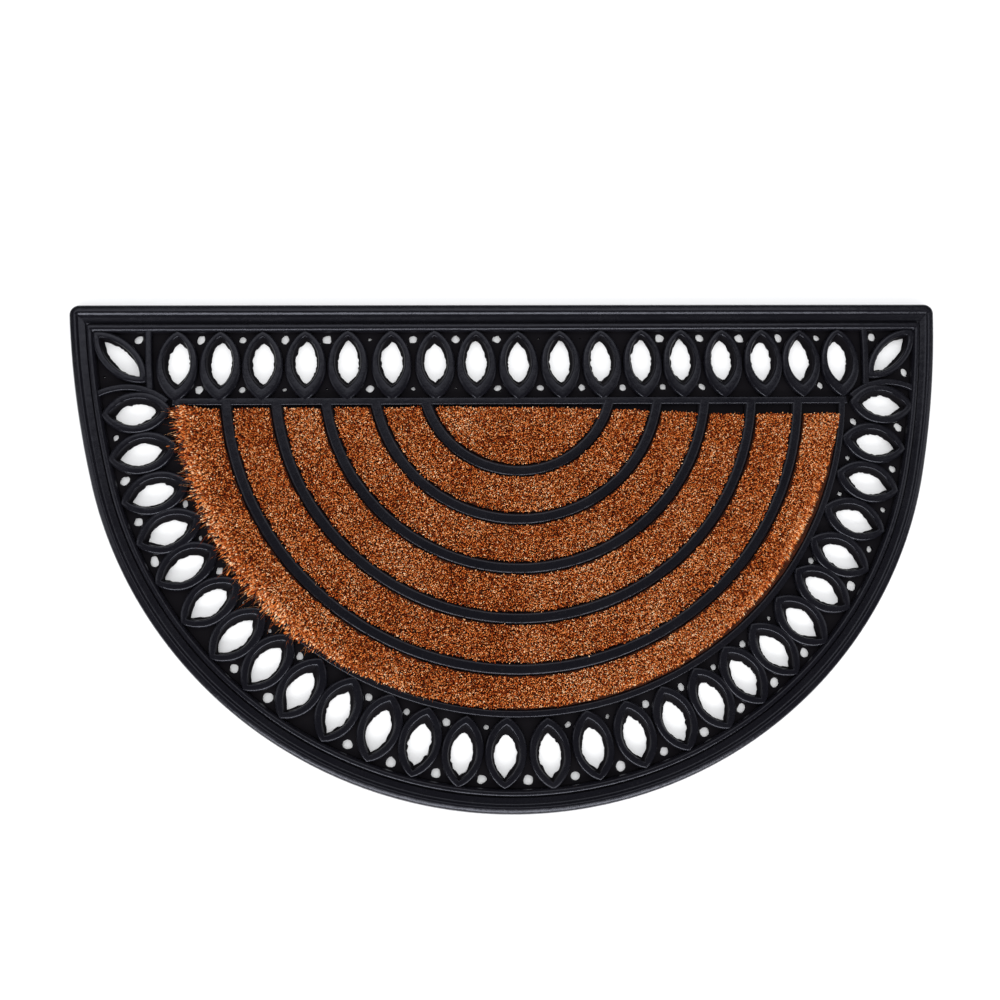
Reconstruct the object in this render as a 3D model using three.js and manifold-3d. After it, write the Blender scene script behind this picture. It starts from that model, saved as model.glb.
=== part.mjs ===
// Half round doormat: one moulded rubber grill that holds six inlays of cut coir pile.
// Millimetres, +Z up. The mat is drawn about the centre of its round edge, with the straight
// edge towards +Y, and its group is then moved so that the origin lies at the middle of the
// footprint, on the underside.
import * as THREE from 'three';
import { mergeVertices } from 'three/addons/utils/BufferGeometryUtils.js';
import Module from 'manifold-3d';

const wasm = await Module();
wasm.setup();

// Outline of the mat
const HALF_WIDTH = 350;
const STRAIGHT_Y = 57;
const ROUND_R = 337;
const FLARE_FROM_DEG = 75;
const CORNER_R = 8;
const SHARP_CORNER_R = 0.8;
const STRAIGHT_RIM_GAIN = 1.26;

// Heights above the floor
const WEB_Z = 2.5;
const ROOT_Z = 1.2;
const RING_Z = 7;
const RAIL_Z = 6.6;
const RIB_Z = 6.8;
const COIR_BASE_Z = WEB_Z + 0.3;
const COIR_TOP_Z = 8.4;
const CUT_BELOW_Z = -1;
const CUT_ABOVE_Z = 9;

// Section of the rim, from the outer edge inwards
const RIM_SECTION = [
  { inset: 0, z: 0 },
  { inset: 0.5, z: 4.2 },
  { inset: 2.6, z: 7.1 },
  { inset: 5.8, z: 8 },
  { inset: 7.8, z: 6.2 },
  { inset: 13.2, z: 6.2 },
  { inset: 14.2, z: 7.8 },
  { inset: 17.4, z: 7.8 },
  { inset: 18.7, z: WEB_Z },
];

// Almond rings: half width and half length of the foot, the crest's outer and inner edge,
// and the opening. The opening lies a little nearer to the rim than its ring does.
const TOP_RING = {
  foot: { w: 16.2, l: 28.6 },
  crest: { w: 14.4, l: 27.2 },
  lip: { w: 10.9, l: 20.8 },
  opening: { w: 8.6, l: 17 },
  shift: 2.2,
};
const ARC_RING = {
  foot: { w: 15.6, l: 26 },
  crest: { w: 14.2, l: 25 },
  lip: { w: 10.6, l: 18.6 },
  opening: { w: 8.8, l: 16 },
  shift: 2.3,
};
const CORNER_RING = {
  foot: { w: 13.4, l: 29.4 },
  crest: { w: 12, l: 28.4 },
  lip: { w: 8.4, l: 22.6 },
  opening: { w: 6.2, l: 20 },
  shift: 0,
};

// Places of the rings and of the small round holes between them
const TOP_COUNT = 17;
const TOP_PITCH = 33.2;
const TOP_RING_Y = 7;
const TOP_OUTER_HOLE_Y = 28.8;
const TOP_INNER_HOLE_Y = -12;
const ARC_COUNT = 28;
const ARC_STEP_DEG = 6.23;
const ARC_RING_R = 292.5;
const ARC_OUTER_HOLE_R = 313.2;
const ARC_INNER_HOLE_R = 275.9;
const CORNER_RING_X = 308.3;
const CORNER_RING_Y = 13.8;
const OUTER_HOLE_RADIUS = 3.8;
const INNER_HOLE_RADIUS = 2.9;
const CORNER_HOLES = [
  { x: 296, y: 29.2 },
  { x: 320.8, y: -1 },
];

// Short curved bars that close the corner cells, by their ends and middle, for the right side
const BAR_WIDTH = 4.6;
const CORNER_BARS = [
  { from: [288, 37], middle: [287, 12], to: [285, -12] },
  { from: [325, -15.8], middle: [301, -10.2], to: [272, -22] },
];

// Rails round the coir field, and the arched ribs that part it
const RAIL_WIDTH = 6.2;
const RAIL_LEFT_Y = -22.2;
const RAIL_RIGHT_Y = -25.2;
const ARC_RAIL_R = 262;
const ARC_RAIL_WIDTH = 5.8;
const RIB_CENTRE_Y = -4.8;
const RIB_COUNT = 5;
const RIB_INNER_R = 70.3;
const RIB_WIDTH = 9.7;
const RIB_PITCH = 38.1;
const INLAY_GAP = 0.3;
const COIR_LEFT_Y = -26.2;
const COIR_RIGHT_Y = -35.6;

// Facets
const ROUND_STEPS = 36;
const FLARE_STEPS = 4;
const CORNER_STEPS = 3;
const ALMOND_SIDE_STEPS = 5;
const HOLE_SIDES = 6;
const FIELD_STEPS = 56;
const BAR_STEPS = 4;

const RUBBER = new THREE.MeshStandardMaterial({ color: 0x1f2024, roughness: 0.55, metalness: 0 });
const COIR = new THREE.MeshStandardMaterial({ color: 0xa3602e, roughness: 0.95, metalness: 0 });

const rad = THREE.MathUtils.degToRad;

// Points of a round stretch without its last one, so that stretches can follow each other
function arcPoints(x, y, radius, from, to, steps) {
  const curve = new THREE.EllipseCurve(x, y, radius, radius, from, to, to < from);
  return curve.getPoints(steps).slice(0, -1);
}

// Each side leaves the round edge tangentially, on a large arc that ends at the straight edge
function flareArc() {
  const normal = new THREE.Vector2(Math.sin(rad(FLARE_FROM_DEG)), -Math.cos(rad(FLARE_FROM_DEG)));
  const start = normal.clone().multiplyScalar(ROUND_R);
  const chord = new THREE.Vector2(HALF_WIDTH, STRAIGHT_Y).sub(start);
  const radius = -chord.lengthSq() / (2 * chord.dot(normal));
  const centre = start.clone().addScaledVector(normal, -radius);
  return { radius, centre };
}

const FLARE = flareArc();

// Outline of the mat, set in by a distance all round, always with the same number of points
function outline(inset) {
  const corner = Math.max(CORNER_R - inset, SHARP_CORNER_R);
  const reach = FLARE.radius - inset - corner;
  const y = STRAIGHT_Y - inset * STRAIGHT_RIM_GAIN - corner;
  const x = FLARE.centre.x + Math.sqrt(reach ** 2 - (y - FLARE.centre.y) ** 2);
  const turn = Math.atan2(y - FLARE.centre.y, x - FLARE.centre.x);
  const front = -Math.PI / 2;
  const flare = front + rad(FLARE_FROM_DEG);
  const side = FLARE.radius - inset;
  return [
    ...arcPoints(0, 0, ROUND_R - inset, -Math.PI - flare, flare, ROUND_STEPS),
    ...arcPoints(FLARE.centre.x, FLARE.centre.y, side, flare, turn, FLARE_STEPS),
    ...arcPoints(x, y, corner, turn, Math.PI / 2, CORNER_STEPS),
    new THREE.Vector2(x, y + corner),
    ...arcPoints(-x, y, corner, Math.PI / 2, Math.PI - turn, CORNER_STEPS),
    ...arcPoints(-FLARE.centre.x, FLARE.centre.y, side, Math.PI - turn, Math.PI - flare, FLARE_STEPS),
  ];
}

// How far the outer edge stands off the round one, in a direction counted from the front
function flareOut(angle) {
  if (Math.abs(angle) <= rad(FLARE_FROM_DEG)) return 0;
  const along = Math.sin(Math.abs(angle)) * FLARE.centre.x - Math.cos(angle) * FLARE.centre.y;
  return along + Math.sqrt(along ** 2 - FLARE.centre.lengthSq() + FLARE.radius ** 2) - ROUND_R;
}

// Pointed almond of two equal arcs, its tips on the Y axis
function almond({ w, l }) {
  const radius = (w ** 2 + l ** 2) / (2 * w);
  const half = Math.asin(l / radius);
  return [
    ...arcPoints(w - radius, 0, radius, -half, half, ALMOND_SIDE_STEPS),
    ...arcPoints(radius - w, 0, radius, Math.PI - half, Math.PI + half, ALMOND_SIDE_STEPS),
  ];
}

// Ring or disc about a centre on the Y axis
function annulus(inner, outer, y) {
  const shape = new THREE.Shape(arcPoints(0, y, outer, 0, 2 * Math.PI, FIELD_STEPS));
  if (inner > 0) shape.holes.push(new THREE.Path(arcPoints(0, y, inner, 0, 2 * Math.PI, FIELD_STEPS)));
  return shape;
}

// Curved bar of even width through three points
function bowedBar({ from, middle, to }, side) {
  const points = [from, middle, to].map(([x, y]) => new THREE.Vector3(side * x, y, 0));
  const curve = new THREE.CatmullRomCurve3(points);
  const left = [];
  const right = [];
  for (let i = 0; i <= BAR_STEPS; i++) {
    const point = curve.getPointAt(i / BAR_STEPS);
    const tangent = curve.getTangentAt(i / BAR_STEPS);
    const normal = new THREE.Vector2(-tangent.y, tangent.x).multiplyScalar(BAR_WIDTH / 2);
    left.push(new THREE.Vector2(point.x, point.y).add(normal));
    right.push(new THREE.Vector2(point.x, point.y).sub(normal));
  }
  return new THREE.Shape([...right, ...left.reverse()]);
}

// Prism of a shape between two heights
function prism(shape, low, high) {
  const geometry = new THREE.ExtrudeGeometry(shape, { depth: high - low, bevelEnabled: false });
  return geometry.translate(0, 0, low);
}

// Solid whose outline changes with height: an extrusion with one step a row, whose points are
// then set on that row's outline
function stack(rows) {
  const base = rows[0].points;
  const steps = rows.length - 1;
  const geometry = new THREE.ExtrudeGeometry(new THREE.Shape(base), {
    depth: steps,
    steps,
    bevelEnabled: false,
  });
  const position = geometry.getAttribute('position');
  for (let i = 0; i < position.count; i++) {
    const here = new THREE.Vector2(position.getX(i), position.getY(i));
    const index = base.findIndex((point) => point.distanceTo(here) < 0.01);
    const row = rows[Math.round(position.getZ(i))];
    position.setXYZ(i, row.points[index].x, row.points[index].y, row.z);
  }
  return geometry;
}

// Closed geometry as a solid for joining and cutting
function solid(geometry) {
  geometry.deleteAttribute('normal');
  geometry.deleteAttribute('uv');
  const merged = mergeVertices(geometry, 1e-3);
  const vertProperties = new Float32Array(merged.getAttribute('position').array);
  const triVerts = new Uint32Array(merged.index.array);
  return new wasm.Manifold(new wasm.Mesh({ numProp: 3, vertProperties, triVerts }));
}

function joined(solids) {
  return solids.reduce((sum, next) => sum.add(next));
}

function meshOf(body, name, material) {
  const { vertProperties, triVerts } = body.getMesh();
  const geometry = new THREE.BufferGeometry();
  geometry.setAttribute('position', new THREE.BufferAttribute(new Float32Array(vertProperties), 3));
  geometry.setIndex(new THREE.BufferAttribute(new Uint32Array(triVerts), 1));
  geometry.computeVertexNormals();
  const mesh = new THREE.Mesh(geometry, material);
  mesh.name = name;
  return mesh;
}

// Where each ring stands: its centre, the angle that turns its tips from the Y axis, its sizes,
// and the way along the tips that leads to the rim
function ringPlaces() {
  const places = [];
  for (let i = 0; i < TOP_COUNT; i++) {
    const x = (i - (TOP_COUNT - 1) / 2) * TOP_PITCH;
    places.push({ x, y: TOP_RING_Y, angle: 0, ring: TOP_RING, toRim: 1 });
  }
  for (let i = 0; i < ARC_COUNT; i++) {
    const angle = rad((i - (ARC_COUNT - 1) / 2) * ARC_STEP_DEG);
    const r = ARC_RING_R + flareOut(angle);
    places.push({ x: r * Math.sin(angle), y: -r * Math.cos(angle), angle, ring: ARC_RING, toRim: -1 });
  }
  for (const side of [-1, 1]) {
    const angle = (-side * Math.PI) / 4;
    places.push({ x: side * CORNER_RING_X, y: CORNER_RING_Y, angle, ring: CORNER_RING, toRim: 1 });
  }
  return places;
}

function ringBoss({ x, y, angle, ring }) {
  const rows = [
    { points: almond(ring.foot), z: ROOT_Z },
    { points: almond(ring.crest), z: RING_Z },
  ];
  return solid(stack(rows).rotateZ(angle).translate(x, y, 0));
}

// The cutter widens upwards at the slope of the ring's inner wall, past both faces of the mat
function ringOpening({ x, y, angle, ring, toRim }) {
  const slope = (key, z) => ring.opening[key] + ((ring.lip[key] - ring.opening[key]) * z) / RING_Z;
  const rows = [CUT_BELOW_Z, CUT_ABOVE_Z].map((z) => ({
    points: almond({ w: slope('w', z), l: slope('l', z) }),
    z,
  }));
  const cutter = stack(rows).translate(0, toRim * ring.shift, 0);
  return solid(cutter.rotateZ(angle).translate(x, y, 0));
}

function smallHole(x, y, radius) {
  const height = CUT_ABOVE_Z - CUT_BELOW_Z;
  const cutter = new THREE.CylinderGeometry(radius, radius, height, HOLE_SIDES);
  return solid(cutter.rotateX(Math.PI / 2).translate(x, y, (CUT_ABOVE_Z + CUT_BELOW_Z) / 2));
}

// Small holes lie between neighbouring rings, one towards the rim and one towards the coir
function smallHoles() {
  const holes = [];
  for (let i = 1; i < TOP_COUNT; i++) {
    const x = (i - TOP_COUNT / 2) * TOP_PITCH;
    holes.push(smallHole(x, TOP_OUTER_HOLE_Y, OUTER_HOLE_RADIUS));
    holes.push(smallHole(x, TOP_INNER_HOLE_Y, INNER_HOLE_RADIUS));
  }
  for (let i = 1; i < ARC_COUNT; i++) {
    const angle = rad((i - ARC_COUNT / 2) * ARC_STEP_DEG);
    const outer = ARC_OUTER_HOLE_R + flareOut(angle);
    const inner = ARC_INNER_HOLE_R + flareOut(angle);
    holes.push(smallHole(outer * Math.sin(angle), -outer * Math.cos(angle), OUTER_HOLE_RADIUS));
    holes.push(smallHole(inner * Math.sin(angle), -inner * Math.cos(angle), INNER_HOLE_RADIUS));
  }
  for (const side of [-1, 1]) {
    for (const { x, y } of CORNER_HOLES) holes.push(smallHole(side * x, y, OUTER_HOLE_RADIUS));
  }
  return holes;
}

// All that lies below a line across the mat, between two heights: it trims arcs to the coir field
function below(leftY, rightY, low, high) {
  const field = new THREE.Shape([
    new THREE.Vector2(-ROUND_R, -ROUND_R),
    new THREE.Vector2(ROUND_R, -ROUND_R),
    new THREE.Vector2(ROUND_R, rightY),
    new THREE.Vector2(-ROUND_R, leftY),
  ]);
  return solid(prism(field, low, high));
}

function straightRail() {
  const end = ARC_RAIL_R + ARC_RAIL_WIDTH;
  const half = RAIL_WIDTH / 2;
  const shape = new THREE.Shape([
    new THREE.Vector2(-end, RAIL_LEFT_Y - half),
    new THREE.Vector2(end, RAIL_RIGHT_Y - half),
    new THREE.Vector2(end, RAIL_RIGHT_Y + half),
    new THREE.Vector2(-end, RAIL_LEFT_Y + half),
  ]);
  return solid(prism(shape, ROOT_Z, RAIL_Z));
}

// The arched rail and the ribs run up into the straight rail
function archedRail() {
  const ring = annulus(ARC_RAIL_R, ARC_RAIL_R + ARC_RAIL_WIDTH, 0);
  const trim = below(RAIL_LEFT_Y, RAIL_RIGHT_Y, ROOT_Z, RAIL_Z);
  return solid(prism(ring, CUT_BELOW_Z, CUT_ABOVE_Z)).intersect(trim);
}

function ribs() {
  const trim = below(RAIL_LEFT_Y, RAIL_RIGHT_Y, ROOT_Z, RIB_Z);
  const list = [];
  for (let i = 0; i < RIB_COUNT; i++) {
    const inner = RIB_INNER_R + i * RIB_PITCH;
    const ring = annulus(inner, inner + RIB_WIDTH, RIB_CENTRE_Y);
    list.push(solid(prism(ring, CUT_BELOW_Z, CUT_ABOVE_Z)).intersect(trim));
  }
  return list;
}

function cornerBars() {
  const bars = [];
  for (const side of [-1, 1]) {
    for (const bar of CORNER_BARS) bars.push(solid(prism(bowedBar(bar, side), ROOT_Z, RAIL_Z)));
  }
  return bars;
}

// The moulding: rim and web in one stack, the raised rings, rails, ribs and bars joined to it,
// then every opening cut right through
function rubberGrill() {
  const plate = solid(stack(RIM_SECTION.map(({ inset, z }) => ({ points: outline(inset), z }))));
  const places = ringPlaces();
  const raised = [...cornerBars(), straightRail(), archedRail(), ...ribs(), ...places.map(ringBoss)];
  const openings = [...places.map(ringOpening), ...smallHoles()];
  return plate.add(joined(raised)).subtract(joined(openings));
}

// Height of the coir's upper edge, from its values at both ends of the field
function slantAt(x) {
  const middle = (COIR_LEFT_Y + COIR_RIGHT_Y) / 2;
  return middle + ((COIR_RIGHT_Y - COIR_LEFT_Y) * x) / (2 * ARC_RAIL_R);
}

// Inlay of coir between two radii, trimmed along the slightly slanting upper edge of the pile
function coirInlay(inner, outer, y) {
  const trim = below(slantAt(-ROUND_R), slantAt(ROUND_R), COIR_BASE_Z, COIR_TOP_Z);
  return solid(prism(annulus(inner, outer, y), CUT_BELOW_Z, CUT_ABOVE_Z)).intersect(trim);
}

function coirBand(index) {
  const inner = RIB_INNER_R + (index - 1) * RIB_PITCH + RIB_WIDTH + INLAY_GAP;
  if (index < RIB_COUNT) return coirInlay(inner, inner + RIB_PITCH - RIB_WIDTH - 2 * INLAY_GAP, RIB_CENTRE_Y);
  const disc = coirInlay(0, ARC_RAIL_R - INLAY_GAP, 0);
  return disc.subtract(solid(prism(annulus(0, inner, RIB_CENTRE_Y), CUT_BELOW_Z, CUT_ABOVE_Z)));
}

const mat = new THREE.Group();
mat.position.y = (ROUND_R - STRAIGHT_Y) / 2;
mat.add(meshOf(rubberGrill(), 'rubber_grill', RUBBER));
mat.add(meshOf(coirInlay(0, RIB_INNER_R - INLAY_GAP, RIB_CENTRE_Y), 'coir_centre', COIR));
for (let i = 1; i <= RIB_COUNT; i++) mat.add(meshOf(coirBand(i), `coir_band_${i}`, COIR));

export default mat;
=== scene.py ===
# %% [markdown]
# # Half round doormat
#
# The mat is one black rubber moulding that holds six inlays of cut coir pile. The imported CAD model
# gives its true sizes. This lesson models the moulding again with rounded edges and rough openings,
# plants the pile fibre by fibre, and gives both their finish. It starts with the frame that every
# piece has to fit.

# %% Frame
import math

import bpy
import numpy as np
from mathutils import Matrix, Vector


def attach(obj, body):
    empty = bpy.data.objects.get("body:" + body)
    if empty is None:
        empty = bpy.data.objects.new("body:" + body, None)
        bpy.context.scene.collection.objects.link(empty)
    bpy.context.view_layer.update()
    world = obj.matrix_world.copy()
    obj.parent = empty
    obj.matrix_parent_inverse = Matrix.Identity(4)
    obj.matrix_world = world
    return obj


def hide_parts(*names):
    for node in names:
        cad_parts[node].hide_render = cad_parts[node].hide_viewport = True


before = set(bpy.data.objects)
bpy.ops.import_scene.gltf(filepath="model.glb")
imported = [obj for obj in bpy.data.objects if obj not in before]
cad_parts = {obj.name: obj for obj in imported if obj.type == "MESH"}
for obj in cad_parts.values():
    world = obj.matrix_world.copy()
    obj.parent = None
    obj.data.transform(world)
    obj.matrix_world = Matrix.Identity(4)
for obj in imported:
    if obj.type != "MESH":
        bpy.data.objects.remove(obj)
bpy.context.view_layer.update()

# %% [markdown]
# ## Sizes
#
# All sizes are millimetres, counted from the centre of the round edge, as a draughtsman would draw
# the mat. The frame's origin is the middle of the footprint, so each piece is moved by the same
# distance and scaled to metres when its points are set.

# %% Sizes of the mat
MM = 0.001
CENTRE_Y = 140.0

HALF_WIDTH = 350.0
STRAIGHT_Y = 57.0
ROUND_R = 337.0
FLARE_FROM = math.radians(75)
CORNER_R = 8.0
SHARP_CORNER_R = 0.8
STRAIGHT_RIM_GAIN = 1.26

WEB_Z = 2.5
RAIL_Z = 6.6
RIB_Z = 6.8
COIR_BASE_Z = 2.8


def in_frame(points):
    """Turns millimetres about the centre of the round edge into metres in the frame."""
    return (np.asarray(points, float) + (0, CENTRE_Y, 0)) * MM


print("Middle of the straight edge in m", in_frame((0, STRAIGHT_Y, 0)))

# %% [markdown]
# ## Small tools
#
# Operators act on whatever is selected, so each step first selects one piece alone. Three more tools
# are used all the time: one sets the points of a mesh, one selects points by a rule, and one writes
# a number on every point, for a material to read.

# %% Selecting and setting points
def only(piece):
    """Leaves edit mode, selects one piece alone and makes it the active one."""
    if bpy.context.mode != "OBJECT":
        bpy.ops.object.mode_set(mode="OBJECT")
    bpy.ops.object.select_all(action="DESELECT")
    piece.select_set(True)
    bpy.context.view_layer.objects.active = piece
    return piece


def added(name):
    """Names the primitive that an operator has just added."""
    piece = bpy.context.view_layer.objects.active
    piece.name = piece.data.name = name
    return piece


def points_of(piece):
    found = np.zeros(len(piece.data.vertices) * 3)
    piece.data.vertices.foreach_get("co", found)
    return found.reshape(-1, 3)


def set_points(piece, points):
    piece.data.vertices.foreach_set("co", np.asarray(points, np.float32).ravel())
    piece.data.update()


def write_value(piece, name, values):
    """Writes one number on each point of a piece, for its material to read."""
    values = np.asarray(values, np.float32)
    piece.data.attributes.new(name, "FLOAT", "POINT").data.foreach_set("value", values)


def select_points(piece, chosen):
    """In edit mode, selects the points for which chosen(x, y, z), in metres, is true."""
    bpy.ops.object.mode_set(mode="OBJECT")
    for kind in (piece.data.polygons, piece.data.edges):
        kind.foreach_set("select", [False] * len(kind))
    flags = [bool(chosen(*point)) for point in points_of(piece)]
    piece.data.vertices.foreach_set("select", flags)
    bpy.ops.object.mode_set(mode="EDIT")
    bpy.ops.mesh.select_mode(type="VERT")


def settled(piece):
    """Puts the piece's place into its mesh and turns every face outwards."""
    only(piece)
    bpy.ops.object.transform_apply(location=True, rotation=True, scale=True)
    bpy.ops.object.mode_set(mode="EDIT")
    bpy.ops.mesh.select_all(action="SELECT")
    bpy.ops.mesh.remove_doubles(threshold=1e-6)
    bpy.ops.mesh.normals_make_consistent(inside=False)
    bpy.ops.object.mode_set(mode="OBJECT")
    return piece


# %% [markdown]
# ## Walls pulled up row by row
#
# The rim and the rings are walls that run all round, and what matters is their section. A circle is
# added as the first loop. Each row of the section extrudes the loop once more and sets its points,
# and a bridge at the end joins the last loop to the first, so the wall is closed like a tyre.

# %% Pulling up a closed wall
def move_selected(piece, at, to):
    """Puts each selected point, which lies at one of the places in at, on its partner in to."""
    bpy.ops.object.mode_set(mode="OBJECT")
    points = points_of(piece)
    for vertex in piece.data.vertices:
        if vertex.select:
            nearest = np.argmin(((at - points[vertex.index]) ** 2).sum(axis=1))
            vertex.co = to[nearest]
    bpy.ops.object.mode_set(mode="EDIT")


def pulled_up(name, rows):
    """A closed wall through loops of points, all with the same number of points."""
    rows = [np.asarray(row, float) * MM for row in rows]
    bpy.ops.object.select_all(action="DESELECT")
    bpy.ops.mesh.primitive_circle_add(vertices=len(rows[0]), radius=1, fill_type="NOTHING")
    wall = added(name)
    set_points(wall, rows[0])
    bpy.ops.object.mode_set(mode="EDIT")
    bpy.ops.mesh.select_mode(type="EDGE")
    bpy.ops.mesh.select_all(action="SELECT")
    for before, row in zip(rows, rows[1:]):
        bpy.ops.mesh.extrude_edges_move(TRANSFORM_OT_translate={"value": (0, 0, 0)})
        move_selected(wall, before, row)
    bpy.ops.mesh.select_mode(type="EDGE")
    bpy.ops.mesh.select_all(action="DESELECT")
    bpy.ops.mesh.select_non_manifold()
    bpy.ops.mesh.bridge_edge_loops()
    bpy.ops.object.mode_set(mode="OBJECT")
    return wall


# %% [markdown]
# ## Outline
#
# The outline is a half circle whose sides leave it on two large arcs and end in small round corners
# at the straight edge. Set in by a distance, it gives the loops of the rim. A plain inset operator
# would cross itself in the corners, so the loops are worked out from the arcs.

# %% Loops of the outline
ROUND_STEPS, FLARE_STEPS, CORNER_STEPS = 132, 14, 7


def arc(x, y, radius, start, end, steps):
    """Points along an arc without its last one, so that arcs can follow each other."""
    turn = np.linspace(start, end, steps + 1)[:-1]
    return np.column_stack([x + radius * np.cos(turn), y + radius * np.sin(turn)])


leaving = np.array([math.sin(FLARE_FROM), -math.cos(FLARE_FROM)])
chord = np.array([HALF_WIDTH, STRAIGHT_Y]) - leaving * ROUND_R
FLARE_R = -(chord @ chord) / (2 * chord @ leaving)
FLARE_X, FLARE_Y = leaving * (ROUND_R - FLARE_R)


def outline(inset):
    """Points round the outline, set in by a distance."""
    corner = max(CORNER_R - inset, SHARP_CORNER_R)
    y = STRAIGHT_Y - inset * STRAIGHT_RIM_GAIN - corner
    x = FLARE_X + math.sqrt((FLARE_R - inset - corner) ** 2 - (y - FLARE_Y) ** 2)
    turn = math.atan2(y - FLARE_Y, x - FLARE_X)
    flare, half, side = FLARE_FROM - math.pi / 2, math.pi / 2, FLARE_R - inset
    return np.vstack([
        arc(0, 0, ROUND_R - inset, -math.pi - flare, flare, ROUND_STEPS),
        arc(FLARE_X, FLARE_Y, side, flare, turn, FLARE_STEPS),
        arc(x, y, corner, turn, half, CORNER_STEPS),
        [[x, y + corner]],
        arc(-x, y, corner, half, math.pi - turn, CORNER_STEPS),
        arc(-FLARE_X, FLARE_Y, side, math.pi - turn, math.pi - flare, FLARE_STEPS),
    ])


def flare_out(angle):
    """How far the outer edge stands off the round one, in a direction counted from the front."""
    if abs(angle) <= FLARE_FROM:
        return 0.0
    along = math.sin(abs(angle)) * FLARE_X - math.cos(angle) * FLARE_Y
    return along + math.sqrt(along**2 - FLARE_X**2 - FLARE_Y**2 + FLARE_R**2) - ROUND_R


print("Flare radius in mm", round(FLARE_R), "points in the outline", len(outline(0)))

# %% [markdown]
# ## Rim
#
# The rim has a rounded outer bead, a shallow channel and an inner bead with a steep inner wall. The
# table is its section, from the outer edge inwards. Rounded steps of a millimetre or less catch the
# thin lines of light that make a moulded edge look real, which one bevel on a box would not give.

# %% The rim
# distance from the outer edge and height
RIM_SECTION = [
    (0.0, 0.0), (0.15, 2.2), (0.35, 4.2), (0.7, 5.5), (1.2, 6.4), (2.0, 7.05), (3.2, 7.5), (4.4, 7.9),
    (5.2, 8.0), (5.8, 7.85), (6.35, 7.4), (6.9, 6.75), (7.45, 6.15), (8.2, 5.85), (9.2, 5.75),
    (10.8, 5.65), (12.0, 5.35), (12.7, 4.3), (13.3, 4.3), (13.5, 6.3), (13.75, 7.25), (14.2, 7.7),
    (15.2, 7.88), (15.9, 7.87), (16.6, 7.7), (17.2, 7.15), (17.75, 6.4), (18.1, 5.6), (18.5, 4.0),
    (18.8, 2.3), (18.8, 0.0),
]


def loop_at(points, z):
    """Puts plan points at a height."""
    return np.column_stack([points, np.full(len(points), z)])


rim = pulled_up("rim", [loop_at(outline(inset), z) for inset, z in RIM_SECTION])
print("Rim faces", len(rim.data.polygons))

# %% [markdown]
# ## Almond rings
#
# A ring stands in the web with its tips towards the rim and the coir. Its section starts at the foot,
# rises to a narrow band with two soft edges, and drops steeply to a rough opening that sits a little
# nearer to the rim. One ring of each kind is pulled up and then copied round the border. The rings
# of the real mat don't stand quite evenly, so three tables move each of them by up to 3 mm.

# %% Ring sections and places
ALMOND_STEPS = 22

# half width, half length and height of each row, and how far it is shifted towards the rim
TOP_RING = [
    (15.0, 28.0, 0.3, -0.8), (16.0, 29.2, 1.2, -0.8), (16.0, 29.2, 3.6, -0.8), (15.9, 29.1, 5.2, -0.8),
    (15.4, 28.7, 6.3, -0.8), (14.5, 27.8, 6.9, -0.6), (13.4, 26.3, 7.05, -0.1), (12.3, 24.4, 6.95, 0.6),
    (11.6, 22.9, 7.0, 1.3), (11.0, 21.8, 6.75, 1.7), (10.5, 20.9, 6.1, 2.1), (9.6, 19.2, 4.2, 2.5),
    (8.75, 17.6, 1.8, 2.8), (8.3, 17.2, 1.1, 2.9), (8.3, 17.2, 0.0, 2.9),
]
ARC_RING = [
    (14.6, 25.4, 0.3, 0.4), (15.7, 26.4, 1.2, 0.4), (15.7, 26.4, 3.6, 0.4), (15.6, 26.3, 5.2, 0.4),
    (15.1, 25.9, 6.3, 0.4), (14.3, 25.0, 6.9, 0.4), (13.2, 23.5, 7.05, 0.4), (12.2, 22.2, 6.95, 0.5),
    (11.8, 21.5, 7.0, 0.7), (11.2, 20.8, 6.75, 0.8), (10.75, 20.2, 6.1, 1.0), (9.75, 18.3, 4.2, 2.3),
    (8.7, 16.5, 1.8, 3.1), (8.4, 16.1, 1.1, 3.3), (8.4, 16.1, 0.0, 3.3),
]
CORNER_RING = [
    (12.4, 28.4, 0.3, 0), (13.4, 29.4, 1.2, 0), (13.4, 29.4, 3.6, 0), (13.3, 29.3, 5.2, 0),
    (12.8, 28.9, 6.3, 0), (11.9, 28.0, 6.9, 0), (10.7, 26.6, 7.05, 0), (9.7, 25.1, 6.95, 0),
    (9.1, 24.1, 7.0, 0), (8.5, 23.1, 6.75, 0), (8.1, 22.4, 6.1, 0), (7.5, 21.5, 4.2, 0),
    (6.7, 20.6, 1.8, 0), (6.3, 20.2, 1.1, 0), (6.3, 20.2, 0.0, 0),
]
TOP_COUNT, TOP_PITCH, TOP_RING_Y = 17, 33.2, 7.0
ARC_COUNT, ARC_STEP, ARC_RING_R = 28, math.radians(6.23), 292.9
CORNER_RING_X, CORNER_RING_Y = 308.3, 13.8

# how far each ring strays from its even place along its row, and outwards, counted from the left
TOP_STRAY = [0.3, 0.3, -0.6, -0.8, -1.1, 0, 1.1, 0.8, 1.3, 2.3, 2.1, 2.0, 1.2, 1.2, 1.8, 0.3, -0.5]
ARC_STRAY = [0.1, 0.3, 1.1, 0.5, -1.2, -0.9, -0.8, -1.7, -2.0, -2.4, -1.1, -1.5, -0.8, -1.0,
             0.4, 1.2, 1.9, 2.7, 3.0, 1.9, 1.4, 0.9, -0.6, -1.4, -1.1, -0.3, 0.5, 1.9]
ARC_OUT = {1: 1.3, 9: -0.7, 10: -0.9, 12: 1.1, 13: -0.6, 14: 0.5, 17: 0.7, 21: 0.6, 23: -1.2,
           24: -1.7, 26: -0.6, 27: 2.2}


def top_x(i):
    """Place of ring i of the top row, or of a joint between two rings where i ends in a half."""
    return (i - (TOP_COUNT - 1) / 2) * TOP_PITCH + np.interp(i, range(TOP_COUNT), TOP_STRAY)


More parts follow.
